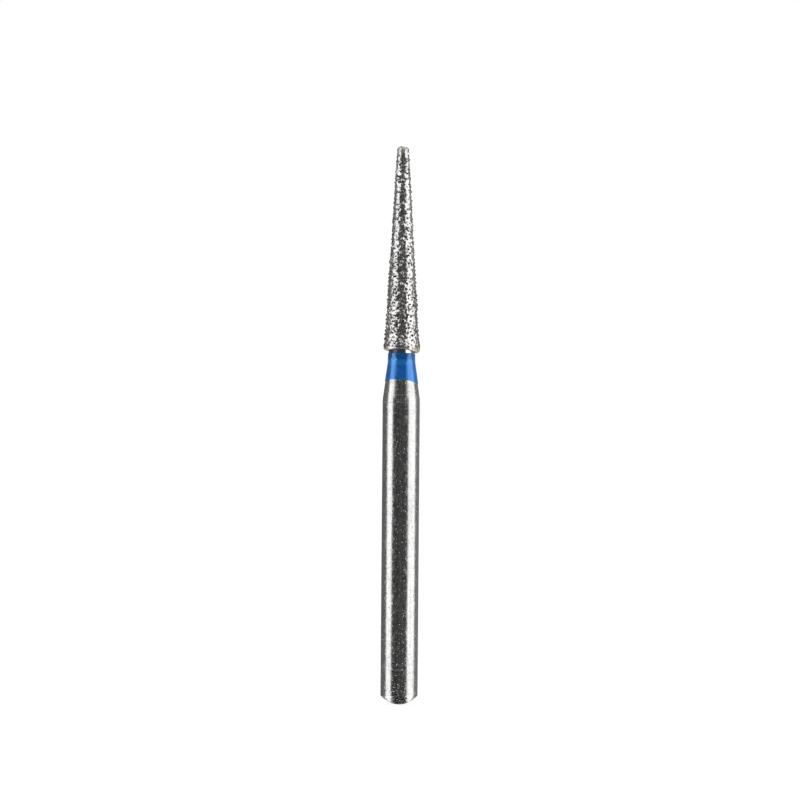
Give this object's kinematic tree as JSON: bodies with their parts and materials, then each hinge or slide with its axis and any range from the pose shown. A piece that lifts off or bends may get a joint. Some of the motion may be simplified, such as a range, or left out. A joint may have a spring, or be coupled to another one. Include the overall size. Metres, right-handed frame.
{
  "type": "dental bur",
  "caption": "Tapered round-end diamond bur: a smooth shank with a domed end, a blue colour ring on its neck and a slim grit-covered working head.",
  "frame": {"origin": "bottom of the shank's domed end, on the axis", "axes": "+Z along the axis from the shank's free end to the tip of the working head"},
  "size_m": [0.0016, 0.0016, 0.024],
  "materials": {
    "shank_steel": "ground stainless steel, bright, with fine circular marks and small pits",
    "diamond_nickel": "bright nickel plating that holds medium diamond grit, dark grains on a lumpy shiny ground",
    "blue_lacquer": "clear blue lacquer over bright steel, glossy"
  },
  "bodies": {
    "root": {"steel_blank": "shank_steel", "diamond_coat": "diamond_nickel", "colour_band": "blue_lacquer"}
  },
  "joints": []
}
